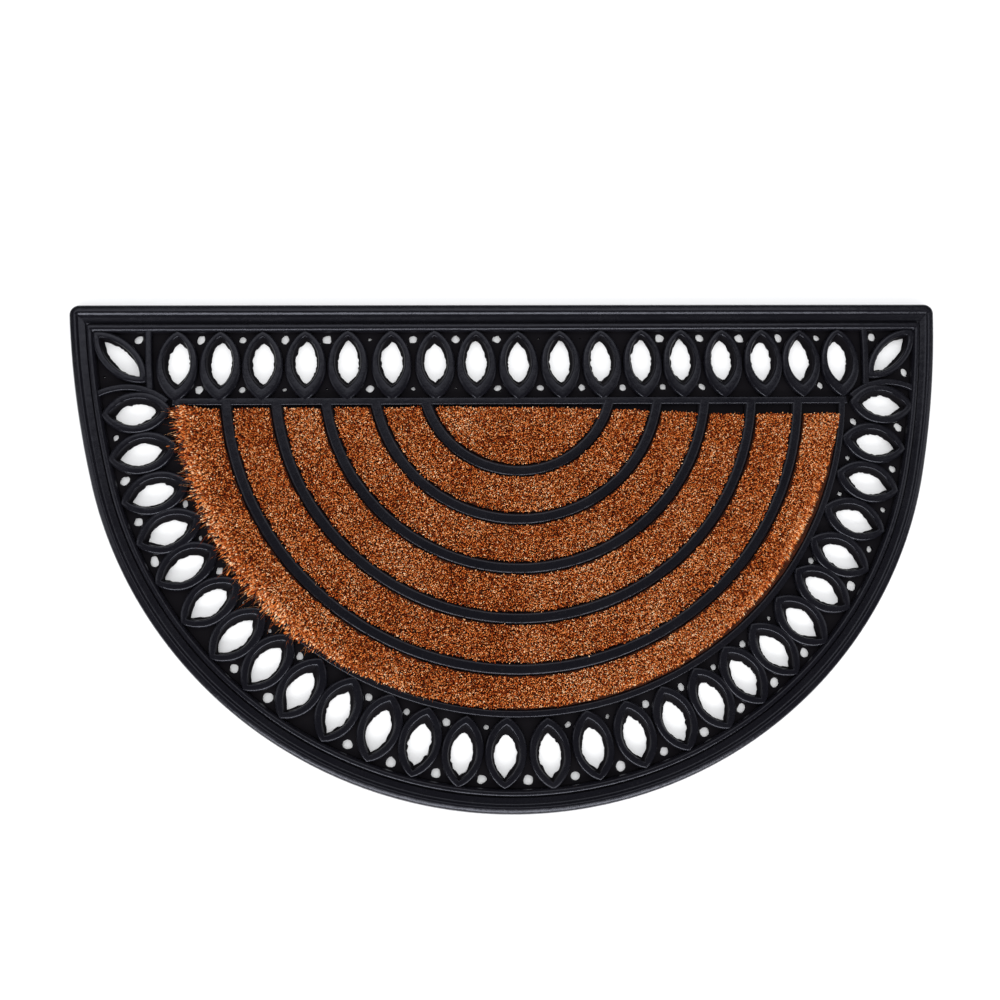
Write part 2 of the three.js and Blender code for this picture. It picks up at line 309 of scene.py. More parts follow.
def arc_angle(i):
    """Direction of ring i of the arc, or of a joint, counted from the front."""
    stray = np.interp(i, range(ARC_COUNT), ARC_STRAY)
    return (i - (ARC_COUNT - 1) / 2) * ARC_STEP + stray / ARC_RING_R


# place, turn, which way the rim lies, and kind of each ring
ring_places = [((top_x(i), TOP_RING_Y), 0.0, 1, "top") for i in range(TOP_COUNT)]
for i in range(ARC_COUNT):
    angle = arc_angle(i)
    radius = ARC_RING_R + flare_out(angle) + ARC_OUT.get(i, 0)
    place = (radius * math.sin(angle), -radius * math.cos(angle))
    ring_places.append((place, angle, -1, "arc"))
for side in (-1, 1):
    ring_places.append(((side * CORNER_RING_X, CORNER_RING_Y), -side * math.pi / 4, 1, "corner"))
print("Rings to place", len(ring_places))

# %% [markdown]
# The almond is fuller than two plain arcs, and its opening is fuller than its foot. One power on the
# length and one on the width give both, where two arcs would give only the pointed form.

# %% Almond loops and the three rings
def almond(half_w, half_l, z, shift, coir_full, rim_full):
    """An almond loop, with the fullness of its ends towards the coir, at -y, and the rim."""
    along = np.linspace(-1, 1, ALMOND_STEPS + 1)
    blunt = np.interp(along, [-1, 1], [coir_full, rim_full])
    out = (1 - np.abs(along) ** (2 + blunt)) ** (1 - 0.8 * blunt)
    right = np.column_stack([half_w * out, half_l * along])[:-1]
    left = (np.column_stack([-half_w * out, half_l * along])[::-1])[:-1]
    return loop_at(np.vstack([right, left]) + (0, shift), z)


# fullness towards the coir and towards the rim, of the outer wall, the inner edge and the opening
FULLNESS = {
    "top": [(0.2, 0.3), (0.15, 0.2), (0.25, 0.25)],
    "arc": [(0.25, 0.28), (0.15, 0.05), (0.22, 0.0)],
    "corner": [(0.2, 0.2), (0.15, 0.15), (0.15, 0.15)],
}


# rows of a section at which those three lie, and at which the relief's depth changes
FULLNESS_ROWS = [4, 9, 12]
# the depth of a row sets the rubber's painted shade there: the foot and the opening's wall get it, the
# band does not
DEPTH_ROWS, DEPTHS = [1, 3, 9, 11], [1.0, 0.0, 0.0, 1.0]


def ring_rows(section, kind):
    """The loops of a ring, from its foot over the band to the foot of its opening."""
    rows = np.arange(len(section))
    ends = [np.interp(rows, FULLNESS_ROWS, side) for side in np.transpose(FULLNESS[kind])]
    return [almond(*row, *full) for row, full in zip(section, np.transpose(ends))]


def ring_model(kind, section):
    """A ring that tells on each point how deep in the relief it lies: 0 on its band, 1 below."""
    ring = pulled_up("ring_" + kind, ring_rows(section, kind))
    row = np.arange(len(ring.data.vertices)) // (2 * ALMOND_STEPS)
    write_value(ring, "depth", np.interp(row, DEPTH_ROWS, DEPTHS))
    return ring


ring_models = {
    "top": ring_model("top", TOP_RING),
    "arc": ring_model("arc", ARC_RING),
    "corner": ring_model("corner", CORNER_RING),
}
print("Faces in a ring", len(ring_models["top"].data.polygons))

# %% [markdown]
# Each copy gets its own mesh, a slight wobble all over, and a rough lower edge, because the rubber of
# the real mat has thin uneven flash where the mould closed. The wobble is a sum of a few waves round
# the ring, so it stays smooth, and its seed makes it the same in every run. Round the arc the walls
# also grow slightly broader towards the sides of the mat.

# %% Copies of the rings
chance = np.random.default_rng(41)

# half width and half length of the inner edge, and how far outside it the wall begins, as a factor
INNER_EDGE_W, INNER_EDGE_L = 10.5, 19
WALL_FROM, WALL_FADE = 1.05, 0.35
BROADER_FROM, BROADER = np.radians([10, 30, 60]), [0, 0.045, 0.06]

# flash grows below this height, and it is rougher than the wobble of the rest
FLASH_TOP, FLASH_FADE, FLASH_WITHIN = 2.2, 1.2, 1.1
WOBBLE, FLASH, FLASH_INSET = 0.006, 0.034, 0.005
TURN_ERROR, PLACE_ERROR = 0.008, 2e-4


def waves(turn, count, size):
    """A smooth random wobble round a closed loop."""
    total = np.zeros_like(turn)
    for k in range(1, count + 1):
        height = chance.normal(0, size / math.sqrt(k))
        total += height * np.sin(k * turn + chance.uniform(0, 2 * math.pi))
    return total


def ring_copy(kind, place, angle, to_rim):
    """A ring of its own, broadened, roughened and set in its place."""
    only(ring_models[kind])
    bpy.ops.object.duplicate()
    copy = added("ring_copy")
    points = points_of(copy) / MM
    if to_rim < 0:
        points = points * (-1, -1, 1)
    inner_edges = np.hypot(points[:, 0] / INNER_EDGE_W, points[:, 1] / INNER_EDGE_L)
    wall = np.clip((inner_edges - WALL_FROM) / WALL_FADE, 0, 1)
    points[:, 0] *= 1 + wall * np.interp(abs(angle), BROADER_FROM, BROADER) * (kind == "arc")
    turn = np.arctan2(points[:, 1], points[:, 0])
    low = np.clip((FLASH_TOP - points[:, 2]) / FLASH_FADE, 0, 1) * (inner_edges < FLASH_WITHIN)
    grow = 1 + waves(turn, 3, WOBBLE) + low * (waves(turn, 20, FLASH) - FLASH_INSET)
    points[:, :2] *= grow[:, None]
    set_points(copy, points * MM)
    copy.rotation_euler.z = angle + chance.normal(0, TURN_ERROR)
    spot = in_frame((*place, 0))
    x, y = spot[0] + chance.normal(0, PLACE_ERROR), spot[1] + chance.normal(0, PLACE_ERROR)
    copy.location = (x, y, 0)
    return settled(copy)


rings = [ring_copy(kind, place, angle, to_rim) for place, angle, to_rim, kind in ring_places]
for model in ring_models.values():
    bpy.data.objects.remove(model)
print("Rings made", len(rings))

# %% [markdown]
# ## Web
#
# Between the rings lies a thin web. It is a filled outline extruded to its thickness, and a Boolean
# cuts all its openings at once, which is how a punch would do it. The web sits a hair above the
# floor, so that its underside shares no plane with the rim's.

# %% The web plate
WEB_INSET, WEB_LIFT = 18.7, 0.05
bpy.ops.object.select_all(action="DESELECT")
bpy.ops.mesh.primitive_circle_add(vertices=len(outline(0)), radius=1, fill_type="NGON")
web = added("web")
set_points(web, loop_at(outline(WEB_INSET), 0) * MM)
only(web)
bpy.ops.object.mode_set(mode="EDIT")
bpy.ops.mesh.select_all(action="SELECT")
bpy.ops.mesh.extrude_region_move(TRANSFORM_OT_translate={"value": (0, 0, WEB_Z * MM)})
bpy.ops.object.mode_set(mode="OBJECT")
web.location.y = rim.location.y = CENTRE_Y * MM
web.location.z = WEB_LIFT * MM
settled(rim)
settled(web)
print("Web thickness in mm", WEB_Z)

# %% [markdown]
# Where two rings meet, the web has a small round hole towards the rim and another towards the coir.
# Flash has narrowed many of them on the real mat and closed others. The holes follow the rings by a
# rule, and a table holds only those that differ, which is shorter than a list of all.

# %% Places of the small holes
TOP_OUTER_HOLE_Y, TOP_INNER_HOLE_Y = 28.8, -12.0
ARC_OUTER_HOLE_R, ARC_INNER_HOLE_R = 313.2, 275.9
OUTER_HOLE_R, INNER_HOLE_R = 3.8, 2.9
CORNER_HOLES = [
    (-296, 29.2, OUTER_HOLE_R), (-320.8, -1, 0.9), (296, 29.2, OUTER_HOLE_R), (320.8, -1, OUTER_HOLE_R),
]

# radius of the holes that differ from their row, nearly all of them smaller or closed, counted from
# the left
DIFFERENT = {
    "top outer": {2: 3.0, 5: 1.5, 9: 0.9, 10: 0.6, 11: 0, 16: 3.0},
    "top inner": {1: 3.7, 3: 1.7, 4: 0.9, 5: 3.6, 6: 1.9, 7: 0.9, 14: 0, 15: 0},
    "arc outer": {1: 2.8, 5: 0, 6: 0, 9: 0, 22: 0, 24: 2.8, 25: 2.6, 26: 3.1},
    "arc inner": {1: 0, 2: 0, 4: 1.8, 6: 1.0, 7: 1.7, 9: 0, 11: 2.4, 13: 2.1, 14: 0, 15: 2.2, 16: 1.8,
                  19: 2.5, 20: 2.8, 21: 1.8, 22: 0, 24: 0, 25: 2.3, 26: 2.0},
}

hole_places = []


def plan_hole(row, i, x, y, size):
    """Notes a hole, unless flash has closed it."""
    size = DIFFERENT.get(row, {}).get(i, size)
    if size:
        hole_places.append((x, y, size))


for i in range(1, TOP_COUNT):
    x = top_x(i - 0.5)
    plan_hole("top outer", i, x, TOP_OUTER_HOLE_Y, OUTER_HOLE_R)
    plan_hole("top inner", i, x, TOP_INNER_HOLE_Y, INNER_HOLE_R)
for i in range(1, ARC_COUNT):
    angle = arc_angle(i - 0.5)
    for row, radius, size in (
        ("arc outer", ARC_OUTER_HOLE_R, OUTER_HOLE_R), ("arc inner", ARC_INNER_HOLE_R, INNER_HOLE_R)
    ):
        radius += flare_out(angle)
        plan_hole(row, i, radius * math.sin(angle), -radius * math.cos(angle), size)
hole_places += CORNER_HOLES
print("Small holes planned", len(hole_places))

# %% [markdown]
# The cutter for a hole is a cylinder whose outline wobbles a little. It is taller than the web, so
# that it passes through both faces, and it is stretched and turned by chance, so no two are alike.

# %% Cutters for the small holes
HOLE_SIDES, HOLE_WOBBLE, HOLE_STRETCH = 14, 0.075, (0.86, 1.08)
CUTTER_HEIGHT = 0.02

cutters = []
for x, y, size in hole_places:
    bpy.ops.mesh.primitive_cylinder_add(vertices=HOLE_SIDES, radius=size * MM, depth=CUTTER_HEIGHT)
    cutter = added("hole_cutter")
    points = points_of(cutter)
    turn = np.arctan2(points[:, 1], points[:, 0])
    points[:, :2] *= 1 + waves(turn, 5, HOLE_WOBBLE)[:, None]
    set_points(cutter, points)
    cutter.scale = (chance.uniform(*HOLE_STRETCH), chance.uniform(*HOLE_STRETCH), 1)
    cutter.rotation_euler.z = chance.uniform(0, math.pi)
    cutter.location = in_frame((x, y, 0))
    cutters.append(cutter)
print("Small holes", len(cutters))

# %% [markdown]
# The web is cut away under each ring along the middle of its band, so that the ring's own rough edge
# is what shows. The cutter is a plain almond: a circle, set to the almond's points and extruded.

# %% Almond cutters and the cut
BAND_MIDDLE = {"top": (12.6, 24.4), "arc": (12.2, 22.2), "corner": (9.9, 25.4)}
CUTTER_FOOT, CUTTER_FULLNESS = -10, 0.15
for place, angle, to_rim, kind in ring_places:
    loop = almond(*BAND_MIDDLE[kind], CUTTER_FOOT, 0, CUTTER_FULLNESS, CUTTER_FULLNESS)
    bpy.ops.mesh.primitive_circle_add(vertices=len(loop), radius=1, fill_type="NGON")
    cutter = added("almond_cutter")
    set_points(cutter, loop * MM)
    bpy.ops.object.mode_set(mode="EDIT")
    bpy.ops.mesh.select_all(action="SELECT")
    bpy.ops.mesh.extrude_region_move(TRANSFORM_OT_translate={"value": (0, 0, CUTTER_HEIGHT)})
    bpy.ops.mesh.select_all(action="SELECT")
    bpy.ops.mesh.normals_make_consistent(inside=False)
    bpy.ops.object.mode_set(mode="OBJECT")
    cutter.rotation_euler.z = angle
    cutter.location = in_frame((*place, 0))
    cutters.append(cutter)


def joined(name, pieces):
    """Makes one mesh of several."""
    only(pieces[0])
    for piece in pieces:
        piece.select_set(True)
    bpy.ops.object.join()
    whole = added(name)
    bpy.ops.object.transform_apply(location=True, rotation=True, scale=True)
    return whole


punch = joined("punch", cutters)
only(web)
cut = web.modifiers.new("openings", "BOOLEAN")
cut.operation, cut.solver, cut.object = "DIFFERENCE", "EXACT", punch
bpy.ops.object.modifier_apply(modifier=cut.name)
bpy.data.objects.remove(punch)
print("Faces in the cut web", len(web.data.polygons))

# %% [markdown]
# ## Rails, ribs and bars
#
# A straight rail closes the coir field, an arched one goes round it, and five ribs part the pile. All
# the arched ones come from one upright face with bevelled top corners that is spun about its centre,
# because a spin keeps the same section all the way, and no curve has to be drawn for it.

# %% Spinning a rib
RAIL_LEFT_Y, RAIL_RIGHT_Y, RAIL_WIDTH = -22.2, -25.2, 6.2
ARC_RAIL_R, ARC_RAIL_WIDTH = 262.0, 5.8
RIB_CENTRE_Y, RIB_COUNT, RIB_INNER_R, RIB_WIDTH, RIB_PITCH = -4.8, 5, 70.3, 9.7, 38.1
ROOT_Z, ARC_RAIL_LIFT, BEVEL_SHARE = 1.2, 0.1, 0.3
START, SWEEP = math.radians(170), math.radians(200)
TOP_WITHIN, BEVEL_STEPS = 0.5, 5


def spun_bar(name, centre, inner, outer, top, start, sweep, steps):
    """A bar with a rounded top, spun about a centre from one angle through another."""
    bpy.ops.object.select_all(action="DESELECT")
    bpy.ops.mesh.primitive_plane_add(size=1)
    bar = added(name)
    middle, half = (inner + outer) / 2, (outer - inner) / 2
    corners = [(middle + side * half, 0, z) for z in (ROOT_Z, top) for side in (-1, 1)]
    turn = Matrix.Rotation(start, 3, "Z")
    set_points(bar, [in_frame(Vector((*centre, 0)) + turn @ Vector(c)) for c in corners])
    bpy.ops.object.mode_set(mode="EDIT")
    select_points(bar, lambda x, y, z: z > (top - TOP_WITHIN) * MM)
    offset = BEVEL_SHARE * (outer - inner) * MM
    bpy.ops.mesh.bevel(offset=offset, segments=BEVEL_STEPS, affect="VERTICES")
    bpy.ops.mesh.select_all(action="SELECT")
    spot = in_frame((*centre, 0))
    bpy.ops.mesh.spin(steps=steps, angle=-sweep, center=spot, axis=(0, 0, 1))
    bpy.ops.mesh.select_all(action="DESELECT")
    bpy.ops.mesh.select_non_manifold()
    bpy.ops.mesh.fill_holes(sides=0)
    bpy.ops.object.mode_set(mode="OBJECT")
    return settled(bar)


print("Ribs start", RIB_INNER_R, "mm from their centre and follow every", RIB_PITCH, "mm")

# %% [markdown]
# The ribs and the arched rail run under the straight rail and end there. Each is spun a little too
# far, and a bisect along the straight rail's middle trims it. The bisect's fill closes the cut.

# %% Ribs and arched rail
def slanting(x, left_y, right_y, half):
    """Where a line from left_y, at -half, to right_y, at half, stands at x."""
    return (left_y + right_y) / 2 + (right_y - left_y) * x / (2 * half)


def rail_y(x):
    """Middle of the straight rail at x."""
    return slanting(x, RAIL_LEFT_Y, RAIL_RIGHT_Y, ARC_RAIL_R + ARC_RAIL_WIDTH)


def trimmed(bar):
    """Cuts away what lies beyond the straight rail's middle."""
    only(bar)
    bpy.ops.object.mode_set(mode="EDIT")
    bpy.ops.mesh.select_all(action="SELECT")
    slope = rail_y(1) - rail_y(0)
    bpy.ops.mesh.bisect(
        plane_co=in_frame((0, rail_y(0), 0)), plane_no=(-slope, 1, 0), clear_outer=True, use_fill=True
    )
    bpy.ops.object.mode_set(mode="OBJECT")
    return settled(bar)


ribs = []
for i in range(RIB_COUNT):
    inner, steps = RIB_INNER_R + i * RIB_PITCH, 60 + 16 * i
    rib = spun_bar("rib", (0, RIB_CENTRE_Y), inner, inner + RIB_WIDTH, RIB_Z, START, SWEEP, steps)
    ribs.append(trimmed(rib))
arc_rail_outer_r, arc_rail_z = ARC_RAIL_R + ARC_RAIL_WIDTH, RAIL_Z + ARC_RAIL_LIFT
arched_rail = spun_bar(
    "arched_rail", (0, 0), ARC_RAIL_R, arc_rail_outer_r, arc_rail_z, START, SWEEP, 150
)
ribs.append(trimmed(arched_rail))
print("Ribs and arched rail", len(ribs))

# %% [markdown]
# The straight rail slants a little, as it does on the real mat. It starts as a cube, its upper edges
# are bevelled, and its right end is then moved. The short bars in the corners follow arcs through
# three points, so they are spun too, and their copies on the left are mirrored.

# %% Straight rail and corner bars
RAIL_BEVEL = 1.5
bpy.ops.object.select_all(action="DESELECT")
bpy.ops.mesh.primitive_cube_add(size=1, location=in_frame((0, RAIL_LEFT_Y, (ROOT_Z + RAIL_Z) / 2)))
straight_rail = added("straight_rail")
straight_rail.scale = (2 * (ARC_RAIL_R + ARC_RAIL_WIDTH) * MM, RAIL_WIDTH * MM, (RAIL_Z - ROOT_Z) * MM)
bpy.ops.object.transform_apply(location=True, rotation=True, scale=True)
bpy.ops.object.mode_set(mode="EDIT")
select_points(straight_rail, lambda x, y, z: z > (RAIL_Z - TOP_WITHIN) * MM)
bpy.ops.mesh.bevel(offset=RAIL_BEVEL * MM, segments=4, affect="EDGES")
select_points(straight_rail, lambda x, y, z: x > 0)
bpy.ops.transform.translate(value=(0, (RAIL_RIGHT_Y - RAIL_LEFT_Y) * MM, 0))
bpy.ops.object.mode_set(mode="OBJECT")
settled(straight_rail)


def circle_through(a, b, c):
    """Centre of the circle through three points."""
    a, b, c = (np.array(p, float) for p in (a, b, c))
    sides = 2 * np.array([b - a, c - a])
    return np.linalg.solve(sides, np.array([b @ b - a @ a, c @ c - a @ a]))


BAR_WIDTH = 5.4
CORNER_BARS = [((288, 36), (287, 12), (285, -12)), ((325, -15.8), (301, -10.2), (272, -22))]
bars = [straight_rail]
for points in CORNER_BARS:
    centre = circle_through(*points)
    radius = math.dist(centre, points[0])
    angles = [math.atan2(p[1] - centre[1], p[0] - centre[0]) for p in (points[0], points[2])]
    sweep = (angles[1] - angles[0] + math.pi) % (2 * math.pi) - math.pi
    inner, outer = radius - BAR_WIDTH / 2, radius + BAR_WIDTH / 2
    bar = spun_bar("bar", centre, inner, outer, RAIL_Z, angles[0], sweep, 10)
    bars.append(bar)
    only(bar)
    bpy.ops.object.duplicate()
    mirrored = added("bar_left")
    mirrored.scale.x = -1
    bars.append(settled(mirrored))
print("Bars", len(bars))

# %% [markdown]
# ## One moulding
#
# On the real mat all of this is one piece of rubber, so the walls are joined into one object. Faces
# that meet at less than forty degrees are shaded smooth, and sharper edges stay crisp. Weighted
# normals keep the broad flats even. Each point also tells how deep in the relief it lies, and by it
# the rubber's material paints shade into the recesses.

# %% The moulding
SMOOTH_BELOW = math.radians(40)

# heights between which each kind of wall changes from recess to top; the rubber paints shade on what
# lies below them
RIM_FADE, WEB_FADE, BAR_FADE, RIB_FADE = (3.6, 5.6), (3.0, 4.0), (3.0, 5.2), (4.8, 6.7)


def mark_depth(piece, low, high):
    """Writes on each point how deep in the relief it lies: 1 below low, 0 above high."""
    height = points_of(piece)[:, 2] / MM
    write_value(piece, "depth", np.clip((high - height) / (high - low), 0, 1))


for pieces, (low, high) in (([rim], RIM_FADE), ([web], WEB_FADE), (bars, BAR_FADE), (ribs, RIB_FADE)):
    for piece in pieces:
        mark_depth(piece, low, high)

moulding = joined("rubber_moulding", [rim, web, *rings, *ribs, *bars])
bpy.ops.object.shade_smooth_by_angle(angle=SMOOTH_BELOW)
even = moulding.modifiers.new("even_flats", "WEIGHTED_NORMAL")
even.keep_sharp = True
bpy.ops.object.modifier_apply(modifier=even.name)
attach(moulding, "root")
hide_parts("rubber_grill")
moulding.data.calc_loop_triangles()
print("Triangles in the moulding", len(moulding.data.loop_triangles))

# %% [markdown]
# ## Coir pile
#
# Coir pile is thousands of short, stiff husk fibres that stand up from a backing and are cut level.
# From above one sees their cut ends, some leaning points, and dark gaps. Planting each fibre as a few
# triangles keeps that look from every side, and an array makes them all in one go. There are two
# kinds: a wedge with a broad cut end, and a pointed fibre that leans.

# %% Fibres as arrays
DENSITY = 2.25
BACKING_Z = 5.9
PILE_Z = 7.7
WEDGE_SHARE, FOOT_DEPTH = 0.62, 0.8

# radius of a wedge's cut end and of a pointed fibre's foot, and how the ends vary in height
BROAD_R, NARROW_R = (0.36, 0.62), (0.2, 0.32)
CUT_UNEVEN, POINT_OUT, POINT_LEAN = (-0.3, 0.2), (0, 0.7), 0.8
TONE_SPREAD = 1.4
# how lean sets the share of painted root shade that a fibre's foot loses, the most it loses, and how
# much lighter its tone is painted then
FOOT_LEAN, FOOT_FROM, FOOT_MOST, FOOT_TONE = 5, 0.3, 0.7, 0.12


def triangle_round(centres, radius, turn):
    """Three points round each centre, as an array of fibres by corners by coordinates."""
    corner = turn[:, None] + np.array([0, 2, 4]) * math.pi / 3
    spread = np.stack([np.cos(corner), np.sin(corner), np.zeros_like(corner)], axis=2)
    return centres[:, None, :] + radius[:, None, None] * spread


def fibres(roots, lean, top, rng):
    """Points, faces, tone and rise of closed four faced fibres, planted at the roots."""
    count = len(roots)
    wedge = rng.random(count) < WEDGE_SHARE
    tips = np.column_stack([roots + lean, top])
    feet = np.column_stack([roots, np.full(count, BACKING_Z - FOOT_DEPTH)])
    turn = rng.uniform(0, 2 * math.pi, count)
    broad = triangle_round(tips, rng.uniform(*BROAD_R, count), turn)
    broad[:, :, 2] += rng.uniform(*CUT_UNEVEN, (count, 3))
    narrow = triangle_round(feet, rng.uniform(*NARROW_R, count), turn)
    base = np.where(wedge[:, None, None], broad, narrow)
    point = tips + np.column_stack([lean * POINT_LEAN, rng.uniform(*POINT_OUT, count)])
    apex = np.where(wedge[:, None], feet, point)
    points = np.concatenate([base, apex[:, None, :]], axis=1)
    up = np.array([[0, 1, 2], [1, 0, 3], [2, 1, 3], [0, 2, 3]])
    down = np.array([[0, 2, 1], [0, 1, 3], [1, 2, 3], [2, 0, 3]])
    faces = np.where(wedge[:, None, None], up, down) + 4 * np.arange(count)[:, None, None]
    # a fibre that leans far lies open to the light down to its foot, so its foot gets less painted root
    # shade, and its tone is painted a little lighter
    foot = np.clip(np.hypot(*lean.T) / FOOT_LEAN - FOOT_FROM, 0, FOOT_MOST)[:, None]
    tone = np.repeat(rng.beta(TONE_SPREAD, TONE_SPREAD, count) + FOOT_TONE * foot[:, 0], 4)
    base_up, apex_up = np.array([1, 1, 1, 0]), np.array([0, 0, 0, 1])
    rise = np.where(wedge[:, None], base_up + foot * apex_up, apex_up + foot * base_up)
    return points.reshape(-1, 3), faces.reshape(-1, 3), tone, rise.ravel()


print("Fibres for each square millimetre", DENSITY)

# %% [markdown]
# The pile's outer edge is not the rail's. On the left it leans over the arched rail, and on the
# right it stays short of it, as in the photograph, and its straight edge waves a little. Tables by
# angle and by place hold that, because no formula would.

# %% Edges of the pile
COIR_LEFT_Y, COIR_RIGHT_Y, INLAY_GAP = -26.2, -35.6, 0.3

# how far the pile reaches, by the angle from the front, and how its straight edge waves
REACH_ANGLE = [-84, -72, -60, -48, -40, -30, -16, 0, 16, 30, 44, 58, 68, 76, 83]
REACH_R = [269.3, 267.4, 268.0, 268.4, 267.6, 264.6, 262.6, 260.8, 260.5, 260.1, 258.4, 256.0,
           257.6, 261.3, 263.8]
WAVE_X = [-262, -252, -238, -215, -54, 31, 90, 136, 173, 214, 261]
WAVE_Y = [1.0, -0.5, -2.0, -1.4, 1.3, 1.4, 0.3, -1.5, -2.6, -1.8, -0.9]


def coir_line(x):
    """Straight edge of the coir's solids at x."""
    return slanting(x, COIR_LEFT_Y, COIR_RIGHT_Y, ARC_RAIL_R)


def coir_top(x):
    """Straight edge of the pile at x, which waves about that of the solids."""
    return coir_line(x) + np.interp(x, WAVE_X, WAVE_Y)


print("The pile's outer edge lies between", min(REACH_R), "and", max(REACH_R), "mm")

# %% [markdown]
# The pile fills each band, and at the band's edges the fibres splay. Its height rolls gently, as
# real pile does. A grid of roots that is shaken by chance covers a band more evenly than free random
# places would, which leave bald spots.

# %% Where the fibres stand
REACH_BACK, REACH_INSET = 16.0, 0.8

# fibres that reach far vary in reach and direction
FAR, FAR_ERROR, FAR_TURN = 3, (-0.7, 0.6), 0.5

# how far fibres at the ribs, the outer edge and the straight edge splay, and how many stray more
SPLAY, SPLAY_FADE = (-0.1, 0.7, 0.4), 1.3
STRAY_SHARE, STRAY_GAIN, LEAN_ERROR = 0.06, (1.2, 2.8), 0.42
HILL, HILL_SCALE, TOP_ERROR, EDGE_DROP = 0.22, 60, 0.3, 0.5
ROLL_WAVES = 7

# the edges of the pile roll too, and no root stands nearer to one than this room
EDGE_ROLL, EDGE_ROLL_SCALE, EDGE_TRIM, LEAST_ROOM = 0.45, 11, 0.2, 0.3


def rolling(points, scale, rng):
    """Soft random hills, as a sum of waves in several directions."""
    total = np.zeros(len(points))
    for _ in range(ROLL_WAVES):
        way = rng.normal(0, 2 * math.pi / scale, 2)
        total += np.sin(points @ way + rng.uniform(0, 2 * math.pi))
    return total / math.sqrt(ROLL_WAVES)


def planted(inner, outer, outer_y, rng):
    """Roots, lean and top height of the fibres of one band."""
    step = 1 / math.sqrt(DENSITY)
    x, y = np.meshgrid(np.arange(-outer, outer, step), np.arange(-outer + outer_y, 0, step))
    roots = np.column_stack([x.ravel(), y.ravel()]) + rng.uniform(-0.5, 0.5, (x.size, 2)) * step
    from_ribs = roots - (0, RIB_CENTRE_Y)
    from_edge = roots - (0, outer_y)
    r_in, r_out = np.hypot(*from_ribs.T), np.hypot(*from_edge.T)
    room = np.column_stack([r_in - inner, outer - r_out, coir_top(roots[:, 0]) - roots[:, 1]])
    room[:, :2] += EDGE_ROLL * rolling(roots, EDGE_ROLL_SCALE, rng)[:, None] - EDGE_TRIM
    keep = room.min(axis=1) > LEAST_ROOM
    roots, room = roots[keep], room[keep]
    outward = np.stack([-from_ribs[keep] / r_in[keep, None], from_edge[keep] / r_out[keep, None],
                        np.tile([0.0, 1.0], (keep.sum(), 1))], axis=1)
    near = np.exp(-room / SPLAY_FADE)
    splay = near * SPLAY
    stray = rng.random(len(roots)) < STRAY_SHARE
    splay[stray] *= rng.uniform(*STRAY_GAIN, (stray.sum(), 1))
    lean = (outward * splay[:, :, None]).sum(axis=1) + rng.normal(0, LEAN_ERROR, roots.shape)
    if outer_y == 0:
        way = outward[:, 1]
        turn = np.degrees(np.arctan2(way[:, 0], -way[:, 1]))
        reach = np.interp(turn, REACH_ANGLE, REACH_R) - outer - REACH_INSET
        reach = reach + np.where(reach > FAR, rng.normal(*FAR_ERROR, len(roots)), 0)
        way = way + np.where(reach > FAR, FAR_TURN, 0.0)[:, None] * rng.normal(0, 1, way.shape)
        lean += way * (reach * np.clip(1 - room[:, 1] / REACH_BACK, 0, 1) ** 1.5)[:, None]
    hills = HILL * rolling(roots, HILL_SCALE, rng)
    top = PILE_Z + hills + rng.normal(0, TOP_ERROR, len(roots)) - EDGE_DROP * near.max(axis=1)
    return roots, lean, top


print("The pile stands", PILE_Z, "mm high, and its hills are", HILL, "mm")

# %% [markdown]
# The backing under the pile is a copy of the band's own solid, merged and pressed down to the height
# at which the fibres part, and its straight edge is moved to the pile's. It stands for the lower part
# of the pile and its backing, which lie in shade; its points carry no rise, so the coir's material
# paints it with the root shade, and that painted shade is what shows between the fibres.

# %% Backing
ON_LINE = 0.2


# a dark sheet of painted shade, where the lower pile lies in shade
def shaded_backing(node):
    """The band's solid, lowered and with the waves of the pile in its straight edge."""
    only(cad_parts[node])
    bpy.ops.object.duplicate()
    base = added(node + "_backing")
    for key in list(base.keys()):
        del base[key]
    base.parent = None
    only(base)
    bpy.ops.object.mode_set(mode="EDIT")
    bpy.ops.mesh.select_all(action="SELECT")
    bpy.ops.mesh.remove_doubles(threshold=1e-5)
    select_points(base, lambda x, y, z: z > (COIR_BASE_Z + 1) * MM)
    bpy.ops.transform.translate(value=(0, 0, BACKING_Z * MM - points_of(base)[:, 2].max()))
    for x in WAVE_X[1:-1]:
        bpy.ops.mesh.select_all(action="SELECT")
        bpy.ops.mesh.bisect(plane_co=in_frame((x, 0, 0)), plane_no=(1, 0, 0))
    bpy.ops.object.mode_set(mode="OBJECT")
    points = points_of(base)
    x, y = points[:, 0] / MM, points[:, 1] / MM - CENTRE_Y
    on_line = np.abs(y - coir_line(x)) < ON_LINE
    points[on_line, 1] += (coir_top(x[on_line]) - coir_line(x[on_line])) * MM
    set_points(base, points)
    return base


print("Backing height in mm", BACKING_Z)

# %% [markdown]
# The fibres of a band come as one mesh from the arrays, which is far quicker than an operator for
# each fibre. Two values lie on every point: the fibre's tone, and how far up the fibre it is, which
# sets how much painted root shade the point gets.

# %% Pile of each inlay
def pile(name, roots, lean, top, rng):
    """One mesh of all the fibres of a band."""
    points, faces, tone, rise = fibres(roots, lean, top, rng)
    mesh = bpy.data.meshes.new(name)
    mesh.vertices.add(len(points))
    mesh.loops.add(faces.size)
    mesh.polygons.add(len(faces))
    mesh.vertices.foreach_set("co", in_frame(points).astype(np.float32).ravel())
    mesh.loops.foreach_set("vertex_index", faces.astype(np.int32).ravel())
    mesh.polygons.foreach_set("loop_start", np.arange(0, faces.size, 3, dtype=np.int32))
    mesh.update(calc_edges=True)
    made = bpy.data.objects.new(name, mesh)
    bpy.context.scene.collection.objects.link(made)
    write_value(made, "tone", tone)
    write_value(made, "rise", rise)
    return made


